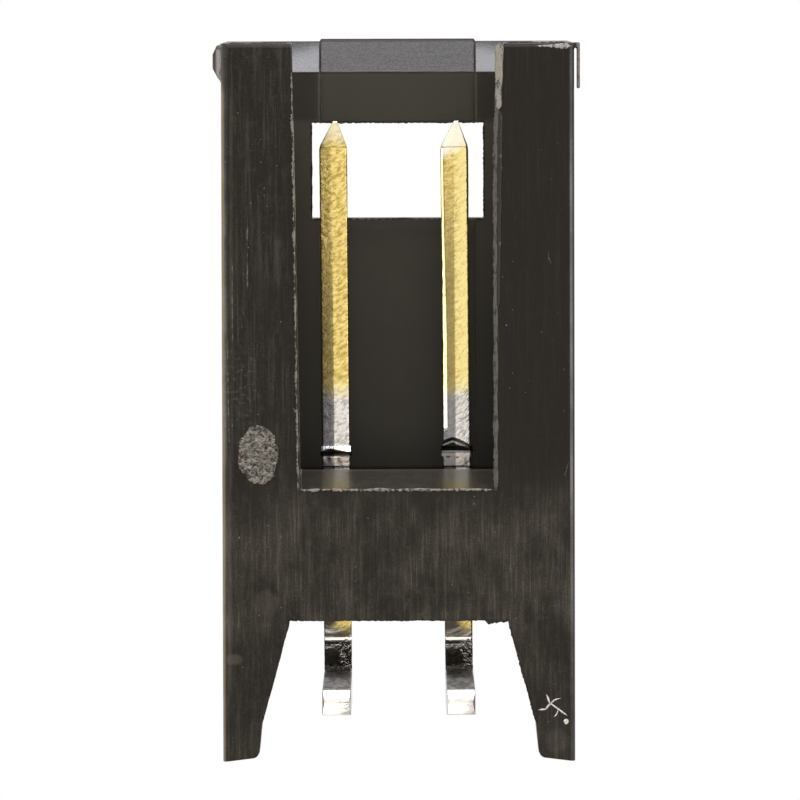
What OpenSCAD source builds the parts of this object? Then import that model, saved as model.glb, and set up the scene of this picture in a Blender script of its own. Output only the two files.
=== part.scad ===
// Right-angle pin header with a shroud: one moulded housing and two bent square pins.
// Millimetres. +Z points up from the board, X runs along the row of pins, the mouth faces -Y.
// The origin is the middle of the row of solder tails, level with the top of the board.

/* [Pins] */
// Distance from one pin to the next
pitch = 2.54; // [2.3:0.01:2.8]
// Side of the square wire
pin_side = 0.63; // [0.5:0.01:0.75]
// Height of the mating pins' axis above the board
pin_z = 2.9; // [2.4:0.05:3.4]
// How far a pin's point lies inside the mouth
pin_setback = 1.66; // [0.4:0.02:3.5]
// Length of the four-sided point at the mating end of a pin
point_len = 0.54; // [0.3:0.02:0.9]
// Side of the flat that is left at the end of the point
point_flat = 0.16; // [0.08:0.02:0.3]
// Inside radius of the right-angle bend
bend_r = 0.63; // [0.3:0.01:0.9]
// Length of a tail below the top of the board
tail_len = 2.8; // [2:0.1:4.5]
// Length of the blunt point at the end of a tail
tail_point_len = 0.22; // [0.1:0.02:0.6]
// Side of the flat that is left at the end of a tail
tail_flat = 0.2; // [0.1:0.02:0.4]
// Extra width of the flattened stretch that grips the housing
coin_extra = 0.05; // [0.02:0.01:0.12]
// How far the flattened stretch stands out of the floor of the shroud
coin_rise = 0.77; // [0.4:0.01:1.5]
// How deep the flattened stretch sits in the base
coin_seat = 1.3; // [0.6:0.05:2]

/* [Shroud] */
// From an outer pin's axis to the side of the cavity
cavity_margin = 1.355; // [1.2:0.005:1.6]
// Thickness of each side wall
side_wall = 1.025; // [0.9:0.005:1.3]
// Thickness of the wall that lies on the board
board_wall = 1.15; // [0.8:0.05:1.5]
// Thickness of the wall that holds the latch window
latch_wall = 1.15; // [0.9:0.05:1.5]
// Height of the housing above the board
body_h = 5.8; // [5.2:0.05:6.6]
// From the mouth to the floor of the cavity
cavity_len = 9.24; // [7:0.02:12]
// Thickness of the base that holds the pins
base_t = 2.71; // [2.3:0.01:3.5]
// Radius along the long outer edges
edge_r = 0.12; // [0.05:0.01:0.3]

/* [Mouth and latch] */
// Length of the sloped lead-in at the mouth
lead_in_len = 0.66; // [0.3:0.02:1]
// Depth of the lead-in on the latch wall
lead_in_depth = 0.45; // [0.2:0.01:0.6]
// Depth of the lead-in on the side walls
lead_in_side = 0.25; // [0.1:0.01:0.5]
// Width of the shallow channel that guides the latch
channel_w = 3.28; // [2.6:0.02:3.5]
// Depth of the channel
channel_depth = 0.15; // [0.05:0.01:0.25]
// How far the lip over the channel stands out of the mouth
lip_proud = 0.05; // [0.02:0.01:0.15]
// Width of the latch window
window_w = 3.65; // [3:0.05:4.5]
// Length of the latch window along the pins
window_len = 2.04; // [1.2:0.02:3]
// From the mouth to the latch window
window_setback = 1.72; // [1.1:0.02:2.5]

/* [Board-side slot] */
// Width of the slot at the mouth
slot_mouth_w = 4.38; // [3.8:0.02:4.8]
// Width of the slot at its closed end
slot_end_w = 4.06; // [3.6:0.02:4.6]
// How far the closed end slopes up towards the cavity
slot_ramp = 0.37; // [0.1:0.01:0.8]

/* [Legs] */
// Length of the legs behind the base, along their outer sides
leg_len = 2.94; // [2.6:0.02:4]
// Width of a leg where it leaves the base
leg_root_w = 1.39; // [1.1:0.01:1.6]
// From the base to the knee where the inner side of a leg turns
leg_knee = 2.12; // [1.2:0.02:2.3]
// Width of a leg at its knee
leg_knee_w = 0.815; // [0.7:0.005:1]
// Width of a leg at its end
leg_end_w = 0.735; // [0.5:0.005:0.8]
// Height of a leg where it leaves the base
leg_root_h = 3.4; // [2.4:0.1:4.8]
// Height of a leg at its end
leg_end_h = 1.2; // [0.8:0.1:2.2]
// How much shorter a leg is on its inner side
leg_skew = 0.09; // [0.02:0.01:0.2]
// Radius of the inner corner at the end of a leg
leg_corner_r = 0.15; // [0.05:0.01:0.25]
// From the back of the base to the axis of the tails
tail_setback = 1.54; // [1.3:0.02:2]

/* [Flash at the mouth] */
// How far the thin flash stands out of the sides
flash_reach = 0.17; // [0.08:0.01:0.3]
// Length of the flash along the sides
flash_len = 0.95; // [0.5:0.05:1.5]
// Thickness of the flash
flash_t = 0.1; // [0.06:0.02:0.3]

/* [Hidden] */
$fn = 48;
over = 1;
cavity_w = pitch + 2 * cavity_margin;
body_w = cavity_w + 2 * side_wall;
cavity_top = body_h - latch_wall;
base_back = -tail_setback;
floor_y = base_back - base_t;
mouth_y = floor_y - cavity_len;
leg_end_y = base_back + leg_len;
body_half = body_w / 2;
pin_tip_y = mouth_y + pin_setback;
leg_taper = (leg_knee_w - leg_end_w) / (leg_len - leg_knee);
half_side = pin_side / 2;
bend_y = -half_side - bend_r;
bend_z = pin_z - half_side - bend_r;

// A flat outline in Y and Z, carried along X and centred on the middle plane
module along_x(width) {
    translate([-width / 2, 0, 0])
        rotate([90, 0, 90])
            linear_extrude(width) children();
}

// Cross-section of the housing in X and Z, with round corners
module body_section() {
    inner_w = body_w - 2 * edge_r;
    inner_h = body_h - 2 * edge_r;
    translate([-inner_w / 2, 0]) square([inner_w, body_h]);
    translate([-body_half, edge_r]) square([body_w, inner_h]);
    for (side = [-1, 1], level = [edge_r, body_h - edge_r])
        translate([side * inner_w / 2, level]) circle(edge_r);
}

// Shroud, base and legs before anything is cut out, and the lip over the channel
module housing_blank() {
    lip_t = latch_wall - channel_depth - lead_in_depth;
    translate([0, leg_end_y, 0])
        rotate([90, 0, 0])
            linear_extrude(leg_end_y - mouth_y) body_section();
    translate([-channel_w / 2, mouth_y - lip_proud, body_h - lip_t])
        cube([channel_w, lip_proud + lead_in_len, lip_t]);
}

// Flared mouth of a cavity of the given width and roof level: a plan with two sloped sides,
// cut by a side view with a sloped roof, so that the slopes meet in mitred corners
module flared_mouth(width, level, side_depth) {
    front = mouth_y - over;
    back = mouth_y + lead_in_len;
    reach = (back - front) / lead_in_len;
    half_front = width / 2 + side_depth * reach;
    intersection() {
        translate([0, 0, board_wall])
            linear_extrude(body_h)
                polygon([
                    [-half_front, front],
                    [half_front, front],
                    [width / 2, back],
                    [-width / 2, back]
                ]);
        along_x(2 * half_front)
            polygon([
                [front, board_wall],
                [back, board_wall],
                [back, level],
                [front, level + lead_in_depth * reach]
            ]);
    }
}

// The space that the plug goes into, with its lead-in on three sides
module cavity() {
    translate([-cavity_w / 2, mouth_y - over, board_wall])
        cube([cavity_w, cavity_len + over, cavity_top - board_wall]);
    flared_mouth(cavity_w, cavity_top, lead_in_side);
}

// Shallow channel from the mouth to the floor, and the window that the latch snaps into
module latch_cuts() {
    channel_top = cavity_top + channel_depth;
    translate([-channel_w / 2, mouth_y - over, board_wall])
        cube([channel_w, cavity_len + over, channel_top - board_wall]);
    flared_mouth(channel_w, channel_top, 0);
    translate([-window_w / 2, mouth_y + window_setback, cavity_top - over])
        cube([window_w, window_len, latch_wall + 2 * over]);
}

// Open slot in the board wall: its sides draw in and its closed end is a ramp
module board_slot() {
    draw = (slot_mouth_w - slot_end_w) / cavity_len / 2;
    ramp = slot_ramp / board_wall;
    half_mouth = slot_mouth_w / 2 + draw * over;
    half_end = slot_end_w / 2 - draw * over;
    front = mouth_y - over;
    intersection() {
        translate([0, 0, -over])
            linear_extrude(board_wall + 2 * over)
                polygon([
                    [-half_mouth, front],
                    [half_mouth, front],
                    [half_end, floor_y + over],
                    [-half_end, floor_y + over]
                ]);
        along_x(cavity_w)
            polygon([
                [front, -over],
                [floor_y + ramp * over, -over],
                [floor_y - slot_ramp, board_wall],
                [floor_y - slot_ramp, board_wall + over],
                [front, board_wall + over]
            ]);
    }
}

// Gap between the legs: it widens quickly to the knees and then slowly to the ends
module leg_gap() {
    root_half = body_half - leg_root_w;
    knee_half = body_half - leg_knee_w;
    knee_y = base_back + leg_knee;
    far_y = leg_end_y + over;
    far_half = body_half - leg_end_w + leg_taper * over;
    translate([0, 0, -over])
        linear_extrude(body_h + 2 * over)
            polygon([
                [-root_half, base_back],
                [root_half, base_back],
                [knee_half, knee_y],
                [far_half, far_y],
                [-far_half, far_y],
                [-knee_half, knee_y]
            ]);
}

// Space above the legs, which slope down from the base to their ends
module leg_relief() {
    drop = (leg_root_h - leg_end_h) / leg_len;
    far_y = leg_end_y + over;
    along_x(body_w + 2 * over)
        polygon([
            [base_back, leg_root_h],
            [far_y, leg_end_h - drop * over],
            [far_y, body_h + over],
            [base_back, body_h + over]
        ]);
}

// What comes off the end of the +X leg in plan: a slant, and the round of the inner corner
module leg_end_trim() {
    slant = leg_skew / leg_end_w;
    inner = body_half - leg_end_w;
    round_x = inner + (1 - leg_taper) * leg_corner_r;
    round_y = leg_end_y - slant * (body_half - round_x) - leg_corner_r;
    polygon([
        [inner - over, leg_end_y - leg_skew - slant * over],
        [body_half + over, leg_end_y + slant * over],
        [body_half + over, leg_end_y + over],
        [inner - over, leg_end_y + over]
    ]);
    translate([round_x, round_y])
        difference() {
            translate([-leg_corner_r, 0]) square(leg_corner_r);
            circle(leg_corner_r);
        }
}

// Both leg ends
module leg_ends() {
    for (side = [0, 1])
        mirror([side, 0, 0])
            translate([0, 0, -over])
                linear_extrude(body_h + 2 * over) leg_end_trim();
}

// Thin flash left at the mouth: a leaf on the -X side and a sliver that hangs from the +X corner
module mouth_flash() {
    root = body_half - edge_r;
    sliver_in = body_half + 0.3 * flash_reach;
    sliver_out = body_half + 0.7 * flash_reach;
    sliver_root = 0.12 * flash_len;
    translate([0, mouth_y, edge_r])
        linear_extrude(flash_t) {
            polygon([
                [-root, 0],
                [-body_half - 0.5 * flash_reach, 0.05 * flash_len],
                [-body_half - flash_reach, 0.25 * flash_len],
                [-body_half - flash_reach, 0.55 * flash_len],
                [-body_half - 0.4 * flash_reach, 0.75 * flash_len],
                [-root, flash_len]
            ]);
            polygon([
                [root, 0],
                [sliver_out, 0],
                [sliver_out, flash_len],
                [sliver_in, flash_len],
                [sliver_in, sliver_root],
                [root, sliver_root]
            ]);
        }
}

// The flattened stretch of a pin, from inside the base to above the floor
module coined_stretch() {
    width = pin_side + coin_extra;
    translate([-width / 2, floor_y - coin_rise, pin_z - half_side])
        cube([width, coin_rise + coin_seat, pin_side]);
}

// Hole that a pin is pressed into: wide where the flattened stretch sits, then the wire's own size
module pin_hole() {
    coined_stretch();
    translate([-half_side, floor_y - over, pin_z - half_side])
        cube([pin_side, base_t + 2 * over, pin_side]);
}

// Side view of a pin in Y and Z: pointed mating length, quarter bend and blunt tail
module pin_side_view() {
    half_flat = point_flat / 2;
    half_end = tail_flat / 2;
    polygon([
        [bend_y, pin_z - half_side],
        [pin_tip_y + point_len, pin_z - half_side],
        [pin_tip_y, pin_z - half_flat],
        [pin_tip_y, pin_z + half_flat],
        [pin_tip_y + point_len, pin_z + half_side],
        [bend_y, pin_z + half_side]
    ]);
    translate([bend_y, bend_z])
        intersection() {
            difference() {
                circle(bend_r + pin_side);
                circle(bend_r);
            }
            square(bend_r + pin_side);
        }
    polygon([
        [-half_side, bend_z],
        [half_side, bend_z],
        [half_side, tail_point_len - tail_len],
        [half_end, -tail_len],
        [-half_end, -tail_len],
        [-half_side, tail_point_len - tail_len]
    ]);
}

// Sides of the two ends across X: a plan of the mating length and a front view of the tail
module pin_width_trim() {
    half_flat = point_flat / 2;
    half_end = tail_flat / 2;
    translate([0, 0, bend_z])
        linear_extrude(bend_r + pin_side)
            polygon([
                [-half_flat, pin_tip_y],
                [half_flat, pin_tip_y],
                [half_side, pin_tip_y + point_len],
                [half_side, half_side],
                [-half_side, half_side],
                [-half_side, pin_tip_y + point_len]
            ]);
    translate([0, half_side, 0])
        rotate([90, 0, 0])
            linear_extrude(pin_side)
                polygon([
                    [-half_end, -tail_len],
                    [half_end, -tail_len],
                    [half_side, tail_point_len - tail_len],
                    [half_side, bend_z],
                    [-half_side, bend_z],
                    [-half_side, tail_point_len - tail_len]
                ]);
}

// One pin, bent from square wire, with its row place given by side: -1 or 1
module bent_pin(side) {
    translate([side * pitch / 2, 0, 0]) {
        intersection() {
            along_x(pin_side) pin_side_view();
            pin_width_trim();
        }
        coined_stretch();
    }
}

// Moulded housing: shroud, base and legs in one piece
module housing() {
    color("#2f2c28")
        difference() {
            union() {
                housing_blank();
                mouth_flash();
            }
            cavity();
            latch_cuts();
            board_slot();
            leg_gap();
            leg_relief();
            leg_ends();
            for (side = [-1, 1])
                translate([side * pitch / 2, 0, 0]) pin_hole();
        }
}

// Pin on the -X side, gold on the mating end and tin on the tail
module pin_left() {
    color("#c9a646") bent_pin(-1);
}

// Pin on the +X side
module pin_right() {
    color("#c9a646") bent_pin(1);
}

housing();
pin_left();
pin_right();
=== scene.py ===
"""Looks of a right-angle pin header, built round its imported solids. All lengths are metres."""

import math
from types import SimpleNamespace
from typing import NamedTuple

import bpy
import numpy as np
from bpy.props import FloatProperty, FloatVectorProperty, PointerProperty
from mathutils import Matrix, Vector


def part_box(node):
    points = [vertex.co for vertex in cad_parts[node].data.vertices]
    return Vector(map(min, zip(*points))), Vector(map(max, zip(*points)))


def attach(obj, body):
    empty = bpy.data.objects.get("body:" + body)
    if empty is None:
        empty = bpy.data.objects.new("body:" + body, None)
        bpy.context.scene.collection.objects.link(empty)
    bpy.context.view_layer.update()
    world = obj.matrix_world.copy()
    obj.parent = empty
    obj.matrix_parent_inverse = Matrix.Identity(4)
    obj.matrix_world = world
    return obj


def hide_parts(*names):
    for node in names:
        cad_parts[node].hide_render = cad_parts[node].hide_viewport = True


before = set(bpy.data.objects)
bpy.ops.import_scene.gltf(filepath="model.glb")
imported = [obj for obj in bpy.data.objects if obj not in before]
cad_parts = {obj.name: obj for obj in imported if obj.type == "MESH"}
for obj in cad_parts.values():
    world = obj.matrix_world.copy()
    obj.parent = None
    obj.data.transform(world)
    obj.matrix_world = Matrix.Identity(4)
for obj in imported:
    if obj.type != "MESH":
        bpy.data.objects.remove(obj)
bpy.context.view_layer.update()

bl_info = {
    "name": "Right-angle pin header",
    "version": (1, 0, 0),
    "blender": (4, 5, 0),
    "location": "3D View > Sidebar > Pin header",
    "description": "Gives the pin header its moulded, plated and worn surfaces, and its studio",
    "category": "Object",
}

MM = 0.001
BODY = "root"
HOUSING_LOW, HOUSING_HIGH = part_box("housing")

# Places on the housing that its box doesn't give
BODY_HALF = 3.65 * MM
MOUTH_Y = -13.49 * MM
SLOT_MOUTH_HALF = 2.19 * MM
SLOT_END_HALF = 2.03 * MM
FLOOR_Y = -4.25 * MM
BASE_BACK_Y = -1.54 * MM
LEG_ROOT_HALF = 2.26 * MM
LEG_KNEE = (2.835 * MM, 0.58 * MM)
CAVITY_TOP_Z = 4.65 * MM
WINDOW_HALF = 1.825 * MM
WINDOW_Y = (-11.77 * MM, -9.73 * MM)
SIDES = ((-1, "left"), (1, "right"))

# Marks on the face that lies on the board, in millimetres: scratches on the +X leg, faint
# strokes on the walls, one of them a painted highlight on the -X edge, a thin ridge at the mouth
# painted pale as a highlight, the gate mark and the spot by the scratches
SCRATCHES = {
    "scratch_long": ((3.05, 0.0), (3.12, 0.18), (3.31, 0.32), (3.49, 0.45)),
    "scratch_across": ((3.35, 0.08), (3.22, 0.12), (3.13, 0.2), (3.03, 0.31), (2.88, 0.33)),
    "scratch_short": ((3.31, 0.3), (3.26, 0.42), (3.2, 0.48)),
}
STROKES = {
    "stroke_wall": ((-3.42, -8.95), (-3.43, -8.2), (-3.42, -7.3)),
    "stroke_upper": ((-3.11, -9.7), (-3.115, -8.4)),
    # A painted highlight on the round of the -X edge
    "edge_highlight_stroke": ((-3.53, -7.4), (-3.52, -6.3), (-3.5, -5.2)),
    "stroke_fleck": ((-3.22, -7.98), (-3.16, -7.78)),
    "stroke_speck": ((-3.24, -7.66), (-3.21, -7.6)),
    "stroke_crumb": ((-2.2, -5.97), (-2.12, -5.87), (-2.0, -5.8)),
    "stroke_right": ((3.12, -9.17), (3.11, -9.05), (3.17, -8.93)),
    "stroke_corner": ((3.53, -4.86), (3.47, -4.62), (3.43, -4.5)),
}
# A thin ridge along the mouth, painted pale as a highlight
MOUTH_HIGHLIGHT = ((2.85, -13.42), (3.58, -13.42))
GATE_PLACE = (-2.9, -4.98)
SPOT_PLACE = (3.46, 0.57)
SPOT_HALVES = (0.05, 0.055)

# Soft scuffs in the plastic's colour, in millimetres: middle, half width, half length, strength
SCUFFS = (
    (3.27, 0.98, 0.3, 0.32, 0.3),
    (-3.42, -0.74, 0.22, 0.14, 0.6),
    (-2.75, -1.9, 0.35, 0.3, 0.3),
)

# How finely shapes are cut: points on each side of a wire's section and round a bead's, the
# distance between a bead's sections, and the rings of a torn patch and the points on each
SIDE_POINTS = 26
BEAD_POINTS = 10
BEAD_STEP = 0.02 * MM
PATCH_RINGS = 90
PATCH_POINTS = 180

# First seed of each kind of ragged shape; a row of beads goes on in steps of SEED_STEP
SEED_STEP = 10
WIRE_EDGE_SEED = 5
WIRE_FACE_SEED = 8
BLOCK_SEED = 31
FLASH_SEED = 0
SCRATCH_SEED = 300
MOUTH_HIGHLIGHT_SEED = 410
STROKE_SEED = 500
GATE_SEED = 71
SPOT_SEED = 83

# Linear colours of worn and torn spots, and of painted light and shade: a warm painted rim, painted
# highlights, painted light through a thin hook, and painted shade on the pins
TINT = SimpleNamespace(
    warm_rim_light=(0.3, 0.22, 0.1, 1),
    leaf_highlight_tint=(0.5, 0.46, 0.45, 1),
    hook_light_through=(0.3, 0.26, 0.26, 1),
    mouth_highlight=(0.42, 0.395, 0.39),
    scratched=(0.75, 0.73, 0.68),
    worn_gold=(0.5, 0.38, 0.09, 1),
    lit_gold=(1, 0.9, 0.42, 1),
    pale_gold=(1, 0.91, 0.55, 1),
    bevel_gold=(0.93, 0.76, 0.36, 1),
    tip_highlight_gold=(1, 0.96, 0.8, 1),
    painted_shade_gold=(0.2, 0.16, 0.08, 1),
    dull_tin=(0.36, 0.36, 0.37, 1),
    brown_tin=(0.1, 0.09, 0.065, 1),
    warm_tin=(0.66, 0.57, 0.48, 1),
    blotched_tin=(0.12, 0.12, 0.11, 1),
    highlight_tin=(0.97, 0.96, 0.93, 1),
    cut_tin=(0.5, 0.5, 0.44, 1),
    far_tin=(0.42, 0.41, 0.39, 1),
    painted_shade_tin=(0.14, 0.145, 0.165, 1),
    struck=(0.03, 0.028, 0.025, 1),
)

# Each lamp: its place and its width and height in metres, its radiance and its colour
LAMPS = {
    "mouth_softbox": ((0, -0.125, -0.045), (0.09, 0.045), 9.0, (0.93, 0.93, 1.0)),
    "brow_softbox": ((0, -0.108, -0.108), (0.11, 0.06), 0.5, (1.0, 0.98, 0.95)),
    "tail_softbox": ((0, 0.12, -0.05), (0.10, 0.05), 1.5, (1.0, 0.98, 0.95)),
    "right_softbox": ((0.047, -0.006, -0.158), (0.08, 0.14), 0.62, (1.0, 0.97, 0.92)),
    "left_softbox": ((-0.103, -0.006, -0.123), (0.04, 0.14), 1.3, (1.0, 0.97, 0.92)),
    "right_strip": ((0.129, -0.006, -0.09), (0.07, 0.16), 2.9, (1.0, 0.94, 0.93)),
    "left_strip": ((-0.142, -0.006, -0.066), (0.07, 0.16), 1.3, (1.0, 0.86, 0.6)),
}


class PinFace(NamedTuple):
    """How the side of a pin that faces the board is shaped and worn, and where light and shade are
    painted on it. Shares across go from -1 at the -X edge to 1 at the +X edge, and places along Y
    are in millimetres."""

    ridge: float  # share across where the ridge lies
    left: float  # slope on the -X side of the ridge
    right: float  # slope on the +X side of the ridge
    grown: float  # share of the -X slope that is left at the point
    edge: float  # share across where the +X edge turns away
    bevel: float  # slope of the bevel along the -X edge
    bevel_end: float  # where along Y the bevel ends
    wedge: float  # slope of the bevel on the point
    shine: float  # how much the bevel shines
    slant: float  # how slanted the grain is
    dark: float  # how dark the gold is on the -X side
    slate: float  # how strongly the -X side of the gold is painted darker, as painted shade
    darkens: tuple  # how strongly the -X side of the tin is painted darker, as painted shade
    pale: float  # from where to where along Y the painted shade on the -X side grows
    tip: float  # how strongly the +X side of the gold is painted pale, as a painted highlight
    tip_from: float  # how strongly the point is painted pale, as a painted highlight
    tip_slant: float  # where along Y the painted highlight on the point begins
    struck: tuple  # from where to where along Y the struck notch is painted black, as painted shade


PIN_FACES = {
    "pin_left": PinFace(
        ridge=-0.15, left=0.09, right=0.04, grown=0.75, edge=0.94,
        bevel=0.0, bevel_end=0.0, wedge=0.05, shine=0.0,
        slant=0.25, dark=0.6, slate=0.7, darkens=(-10.0, -7.5), pale=0.0,
        tip=0.5, tip_from=-11.26, tip_slant=0.0, struck=(-4.91, -4.8),
    ),
    "pin_right": PinFace(
        ridge=-0.1, left=0.05, right=0.03, grown=0.25, edge=0.91,
        bevel=0.3, bevel_end=-5.36, wedge=0.06, shine=1.0,
        slant=0.45, dark=0.68, slate=0.75, darkens=(-11.6, -8.2), pale=0.6,
        tip=1.0, tip_from=-11.06, tip_slant=0.5, struck=(-5.02, -4.86),
    ),
}


def length(name, description, default):
    """A size in metres that a user may change."""
    return FloatProperty(
        name=name, description=description, default=default, unit="LENGTH", precision=6
    )


def colour(name, description, default):
    """A linear colour that a user may change."""
    return FloatVectorProperty(
        name=name, description=description, default=default, subtype="COLOR", min=0, max=1
    )


def share(name, description, default, highest=1.0):
    """A plain number from nothing to its highest value."""
    return FloatProperty(
        name=name, description=description, default=default, min=0, max=highest
    )


class HousingSettings(bpy.types.PropertyGroup):
    """Finish of the moulded housing."""

    edge_round: length("Edge round", "Width of the rounding along moulded edges", 0.03 * MM)
    plastic: colour("Plastic", "Colour of the moulded plastic", (0.0075, 0.0055, 0.0035))
    rubbed: colour("Rubbed", "Colour of the streaks that handling leaves", (0.063, 0.058, 0.045))
    chafed: colour("Chafed", "Colour of specks and chafed spots", (0.2, 0.19, 0.165))
    roughness: share("Roughness", "Roughness of the moulded surface", 0.34)


class PinSettings(bpy.types.PropertyGroup):
    """Wire and plating of the two pins."""

    bend_radius: length("Bend radius", "Inside radius of the right-angle bend", 0.63 * MM)
    point_length: length("Point", "Length of the point at the mating end", 0.54 * MM)
    point_flat: length("Point flat", "Side of the flat that ends the point", 0.09 * MM)
    tail_point: length("Tail point", "Length of the blunt point of the tail", 0.22 * MM)
    tail_flat: length("Tail flat", "Side of the flat that ends the tail", 0.06 * MM)
    coin_start: length("Coined from", "Where the struck stretch begins, along Y", -5.02 * MM)
    coin_end: length("Coined to", "Where the struck stretch ends, along Y", -4.8 * MM)
    coin_width: length("Coined width", "Half width of the struck stretch", 0.33 * MM)
    corner_power: share("Squareness", "Power of the wire's rounded square section", 40.0, 60.0)
    wide: share("Width", "Share of its box that the wire fills across", 0.93)
    shift: length("Shift", "How far the pins stand off to the +X side", -0.005 * MM)
    lean: FloatProperty(name="Lean", description="How far the pins lean, per length", default=0.007)
    point_blunt: share("Blunt point", "Share of its thickness that the point keeps", 0.35)
    point_skew: length("Point skew", "How far the point is off the pin's middle", 0.045 * MM)
    gold: colour("Gold", "Plating of the mating end", (0.96, 0.76, 0.285))
    tin: colour("Tin", "Plating of the tail", (0.82, 0.80, 0.77))
    gold_end: length("Gold ends", "Where the gold gives way to tin, along Y", -6.15 * MM)
    roughness: share("Roughness", "Roughness of the plating", 0.17)


class FlashSettings(bpy.types.PropertyGroup):
    """Thin ragged plastic left along the edges, and the broken-off gate."""

    height: length("Flash height", "Half height of the flash", 0.014 * MM)
    edge_width: length("Edge flash", "Half width of the flash along hidden edges", 0.014 * MM)
    whitened: colour("Whitened", "Colour of plastic that has been torn", (0.3, 0.28, 0.235))
    greyed: colour("Greyed", "Colour of thin flash", (0.27, 0.258, 0.22))
    gate_size: FloatVectorProperty(
        name="Gate mark",
        description="Half width and half length of the torn gate mark",
        size=2,
        default=(0.42 * MM, 0.6 * MM),
        unit="LENGTH",
    )


class StageSettings(bpy.types.PropertyGroup):
    """Camera, light and floor."""

    distance: length("Distance", "From the camera to the face that lies on the board", 0.170)
    foot_y: length("Camera place", "Where the camera stands along Y", -14.67 * MM)
    aim_y: length("Camera aim", "Where the camera looks along Y", -6.11 * MM)
    aim_x: length("Camera aim across", "Where the camera looks along X", 0.035 * MM)
    roll: FloatProperty(
        name="Camera roll", description="Turn about the line of sight",
        default=math.radians(-0.15), subtype="ANGLE",
    )
    lens: FloatProperty(
        name="Lens", description="Focal length in millimetres", default=370.4, unit="CAMERA"
    )
    floor_z: length("Floor", "Height of the floor", -0.26)


class Wire:
    """A socket of a node tree. Arithmetic on it adds Math nodes, and node() adds any other."""

    def __init__(self, tree, socket=None):
        self.tree = tree
        self.socket = socket

    def node(self, kind, settings=None, sockets=None, out=0):
        """Adds a node, sets its settings and then the values or links of its sockets."""
        made = self.tree.nodes.new(kind)
        for key, value in (settings or {}).items():
            setattr(made, key, value)
        for key, value in (sockets or {}).items():
            if isinstance(value, Wire):
                self.tree.links.new(value.socket, made.inputs[key])
            else:
                made.inputs[key].default_value = value
        return Wire(self.tree, made.outputs[out] if made.outputs else None)

    def math(self, operation, first, second=0.0):
        return self.node("ShaderNodeMath", {"operation": operation}, {0: first, 1: second})

    def __add__(self, other):
        return self.math("ADD", self, other)

    def __sub__(self, other):
        return self.math("SUBTRACT", self, other)

    def __rsub__(self, other):
        return self.math("SUBTRACT", other, self)

    def __mul__(self, other):
        return self.math("MULTIPLY", self, other)

    def __truediv__(self, other):
        return self.math("DIVIDE", self, other)

    def __abs__(self):
        return self.math("ABSOLUTE", self)

    __radd__ = __add__
    __rmul__ = __mul__

    def most(self, other):
        """The larger of two values."""
        return self.math("MAXIMUM", self, other)

    def between(self, low, high):
        """Rises smoothly from 0 at low to 1 at high, or falls if low is the larger."""
        return self.node(
            "ShaderNodeMapRange",
            {"interpolation_type": "SMOOTHSTEP"},
            {"Value": self, "From Min": low, "From Max": high},
        )

    def stretched(self, factors):
        """A vector times three factors."""
        return self.node("ShaderNodeVectorMath", {"operation": "MULTIPLY"}, {0: self, 1: factors})

    def axes(self):
        """The three parts of a vector."""
        parts = self.node("ShaderNodeSeparateXYZ", None, {0: self}).socket.node.outputs
        return [Wire(self.tree, part) for part in parts]

    def noise(self, factors, detail=2.0, rough=0.5, twist=0.0):
        """Noise whose grain is 1 mm divided by the factors along the three axes."""
        place = self.stretched(factors)
        return self.node(
            "ShaderNodeTexNoise", None,
            {
                "Vector": place, "Scale": 1.0, "Detail": detail, "Roughness": rough,
                "Distortion": twist,
            },
        )

    def tint(self, under, over):
        """A colour that goes from under, where this is 0, to over, where it is 1."""
        return self.node(
            "ShaderNodeMix", {"data_type": "RGBA"}, {0: self, 6: under, 7: over}, 2
        )

    def relief(self, depth):
        """A normal from this height, with depth in metres for a height of 1."""
        return self.node(
            "ShaderNodeBump", None, {"Strength": 1.0, "Distance": depth, "Height": self}, "Normal"
        )


def opaque(rgb):
    """A property's colour with full alpha."""
    return (*rgb, 1.0)


def dimmed(rgb, part):
    """A share of a colour."""
    return [part * value for value in rgb]


def layered(tone, layers):
    """A colour with tints laid over it in order: each layer is a mask and a colour."""
    for mask, over in layers:
        tone = mask.tint(tone, over)
    return tone


def new_finish(name):
    """An empty material, and the object coordinates of its surface in millimetres."""
    material = bpy.data.materials.new(name)
    material.use_nodes = True
    material.node_tree.nodes.clear()
    tree = Wire(material.node_tree)
    place = tree.node("ShaderNodeTexCoord", out="Object")
    return material, place.stretched((1 / MM,) * 3)


def close_finish(place, sockets):
    """Joins a Principled shader with these sockets to the material's output."""
    shader = place.node("ShaderNodeBsdfPrincipled", None, sockets)
    place.node("ShaderNodeOutputMaterial", None, {"Surface": shader})


def scuff_mask(x, y):
    """Sum of soft ovals: each is full in its middle and gone at its half width and half length."""
    total = 0.0
    for mid_x, mid_y, half_x, half_y, strength in SCUFFS:
        off_x = (x - mid_x) / half_x
        off_y = (y - mid_y) / half_y
        total = total + strength * (off_x * off_x + off_y * off_y).between(1.0, 0.2)
    return total


def plastic_grain(place):
    """Noise in the plastic: streaks, threads and dashes along the pull of the tool, clouds,
    smudges, brushing across the lead-in, grit, specks and chafing."""
    return SimpleNamespace(
        streak=place.noise((11, 0.4, 11), 3, 0.62),
        thread=place.noise((30, 1.0, 30), 2),
        dash=place.noise((24, 2.6, 24), 2, 0.6),
        cloud=place.noise((1.1, 0.8, 1.1), 4, 0.6),
        smudge=place.noise((6, 4, 6), 3, 0.6, 0.8),
        brushed=place.noise((1.6, 16, 16), 3, 0.6),
        grit=place.noise((26, 26, 26), 1),
        speck=place.noise((15, 13, 15), 0),
        chafe=place.noise((12, 12, 12), 1),
    )


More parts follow.
